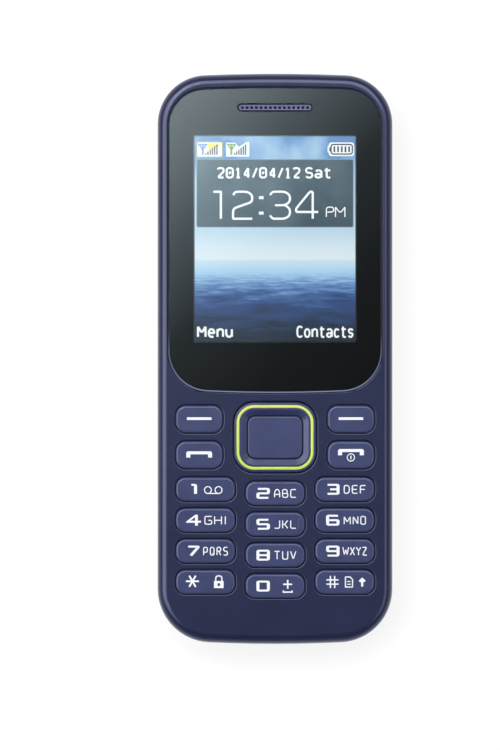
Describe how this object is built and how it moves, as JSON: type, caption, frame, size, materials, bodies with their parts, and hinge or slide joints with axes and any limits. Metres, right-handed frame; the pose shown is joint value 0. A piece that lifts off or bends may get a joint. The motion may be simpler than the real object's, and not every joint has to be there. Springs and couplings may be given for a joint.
{
  "type": "feature phone",
  "caption": "Bar-shaped feature phone with a small lit display, number keys, a four-way key with a centre key and a removable back cover.",
  "frame": {"origin": "centre of the flat back that the phone rests on", "axes": "+Y towards the earpiece end, +Z out of the display, +X on the right as the screen is read"},
  "size_m": [0.0464, 0.1127, 0.0127],
  "materials": {
    "housing_plastic": "smooth painted, satin gloss, dark blue",
    "window_acrylic": "clear, hard coated",
    "window_ink": "black screen print",
    "tape": "black adhesive foam",
    "grille_plastic": "satin dark blue",
    "mesh_cloth": "fine woven",
    "chassis_plastic": "fine spark texture, black",
    "cover_plastic": "fine texture, dark blue",
    "key_plastic": "satin, blue grey",
    "nav_plastic": "satin dark blue",
    "trim_green": "gloss yellow green",
    "silicone": "translucent grey silicone",
    "dome_steel": "bright",
    "clear_film": "milky film",
    "board_laminate": "solder mask, green",
    "shield_steel": "tin plated",
    "connector_black": "moulded black",
    "contact_gold": "gold plated",
    "lens_clear": "clear moulded",
    "led_epoxy": "milky epoxy",
    "rubber_black": "matte",
    "speaker_body": "matte",
    "motor_steel": "drawn can",
    "weight_metal": "sintered",
    "battery_wrap": "light grey label film",
    "display_glass": "lit colour panel",
    "guide_acrylic": "milky sheet",
    "frame_plastic": "white",
    "foam": "closed cell foam",
    "flex_film": "amber film",
    "antenna_metal": "plated foil",
    "screw_steel": "black zinc"
  },
  "bodies": {
    "phone_body": {"front_housing": "housing_plastic", "display_window": "window_acrylic", "window_ink": "window_ink", "window_tape": "tape", "earpiece_grille": "grille_plastic", "earpiece_mesh": "mesh_cloth", "earpiece_receiver": "speaker_body", "rear_housing": "chassis_plastic", "keypad_mat": "silicone", "key_domes": "dome_steel", "dome_sheet": "clear_film", "main_board": "board_laminate", "headphone_jack": "connector_black", "torch_lens": "lens_clear", "torch_led": "led_epoxy", "usb_port": "shield_steel", "microphone": "motor_steel", "microphone_boot": "rubber_black", "loudspeaker": "speaker_body", "loudspeaker_mesh": "mesh_cloth", "vibration_motor": "motor_steel", "battery": "battery_wrap", "battery_connector": "connector_black", "battery_contacts": "contact_gold", "shield_cans": "shield_steel", "display_panel": "display_glass", "display_light_guide": "guide_acrylic", "display_frame": "frame_plastic", "display_gasket": "foam", "display_flex": "flex_film", "antenna": "antenna_metal", "housing_screws": "screw_steel", "sim_socket_1": "shield_steel", "sim_socket_2": "shield_steel", "memory_card_socket": "shield_steel"},
    "key_1": {"key_1": "key_plastic"},
    "key_2": {"key_2": "key_plastic"},
    "key_3": {"key_3": "key_plastic"},
    "key_4": {"key_4": "key_plastic"},
    "key_5": {"key_5": "key_plastic"},
    "key_6": {"key_6": "key_plastic"},
    "key_7": {"key_7": "key_plastic"},
    "key_8": {"key_8": "key_plastic"},
    "key_9": {"key_9": "key_plastic"},
    "key_star": {"key_star": "key_plastic"},
    "key_0": {"key_0": "key_plastic"},
    "key_hash": {"key_hash": "key_plastic"},
    "key_soft_left": {"key_soft_left": "key_plastic"},
    "key_soft_right": {"key_soft_right": "key_plastic"},
    "key_call": {"key_call": "key_plastic"},
    "key_end": {"key_end": "key_plastic"},
    "key_ok": {"key_ok": "key_plastic"},
    "nav_rocker": {"nav_pad": "silicone"},
    "nav_ring": {"nav_ring": "nav_plastic", "nav_trim": "trim_green"},
    "back_cover": {"back_cover": "cover_plastic"},
    "vibration_weight": {"vibration_weight": "weight_metal"}
  },
  "joints": [
    {"name": "key_1_press", "type": "slide", "parent": "phone_body", "child": "key_1", "axis": [0, 0, -1], "range_m": [0, 0.0003], "stiffness_N_per_m": 4000},
    {"name": "key_2_press", "type": "slide", "parent": "phone_body", "child": "key_2", "axis": [0, 0, -1], "range_m": [0, 0.0003], "stiffness_N_per_m": 4000},
    {"name": "key_3_press", "type": "slide", "parent": "phone_body", "child": "key_3", "axis": [0, 0, -1], "range_m": [0, 0.0003], "stiffness_N_per_m": 4000},
    {"name": "key_4_press", "type": "slide", "parent": "phone_body", "child": "key_4", "axis": [0, 0, -1], "range_m": [0, 0.0003], "stiffness_N_per_m": 4000},
    {"name": "key_5_press", "type": "slide", "parent": "phone_body", "child": "key_5", "axis": [0, 0, -1], "range_m": [0, 0.0003], "stiffness_N_per_m": 4000},
    {"name": "key_6_press", "type": "slide", "parent": "phone_body", "child": "key_6", "axis": [0, 0, -1], "range_m": [0, 0.0003], "stiffness_N_per_m": 4000},
    {"name": "key_7_press", "type": "slide", "parent": "phone_body", "child": "key_7", "axis": [0, 0, -1], "range_m": [0, 0.0003], "stiffness_N_per_m": 4000},
    {"name": "key_8_press", "type": "slide", "parent": "phone_body", "child": "key_8", "axis": [0, 0, -1], "range_m": [0, 0.0003], "stiffness_N_per_m": 4000},
    {"name": "key_9_press", "type": "slide", "parent": "phone_body", "child": "key_9", "axis": [0, 0, -1], "range_m": [0, 0.0003], "stiffness_N_per_m": 4000},
    {"name": "key_star_press", "type": "slide", "parent": "phone_body", "child": "key_star", "axis": [0, 0, -1], "range_m": [0, 0.0003], "stiffness_N_per_m": 4000},
    {"name": "key_0_press", "type": "slide", "parent": "phone_body", "child": "key_0", "axis": [0, 0, -1], "range_m": [0, 0.0003], "stiffness_N_per_m": 4000},
    {"name": "key_hash_press", "type": "slide", "parent": "phone_body", "child": "key_hash", "axis": [0, 0, -1], "range_m": [0, 0.0003], "stiffness_N_per_m": 4000},
    {"name": "key_soft_left_press", "type": "slide", "parent": "phone_body", "child": "key_soft_left", "axis": [0, 0, -1], "range_m": [0, 0.0003], "stiffness_N_per_m": 4000},
    {"name": "key_soft_right_press", "type": "slide", "parent": "phone_body", "child": "key_soft_right", "axis": [0, 0, -1], "range_m": [0, 0.0003], "stiffness_N_per_m": 4000},
    {"name": "key_call_press", "type": "slide", "parent": "phone_body", "child": "key_call", "axis": [0, 0, -1], "range_m": [0, 0.0003], "stiffness_N_per_m": 4000},
    {"name": "key_end_press", "type": "slide", "parent": "phone_body", "child": "key_end", "axis": [0, 0, -1], "range_m": [0, 0.0003], "stiffness_N_per_m": 4000},
    {"name": "key_ok_press", "type": "slide", "parent": "phone_body", "child": "key_ok", "axis": [0, 0, -1], "range_m": [0, 0.0003], "stiffness_N_per_m": 4000},
    {"name": "nav_up_down", "type": "hinge", "parent": "phone_body", "child": "nav_rocker", "pos_m": [0, -0.0155, 0.01015], "axis": [1, 0, 0], "range_deg": [-1.8, 1.8], "stiffness_Nm_per_rad": 0.31},
    {"name": "nav_left_right", "type": "hinge", "parent": "nav_rocker", "child": "nav_ring", "pos_m": [0, -0.0155, 0.01015], "axis": [0, 1, 0], "range_deg": [-1.8, 1.8], "stiffness_Nm_per_rad": 0.31},
    {"name": "cover_removal", "type": "slide", "parent": "phone_body", "child": "back_cover", "axis": [0, 0, -1], "range_m": [0, 0.02]},
    {"name": "vibration_spin", "type": "hinge", "parent": "phone_body", "child": "vibration_weight", "pos_m": [0.0135, 0.0305, 0.00485], "axis": [0, 1, 0], "continuous": true}
  ]
}
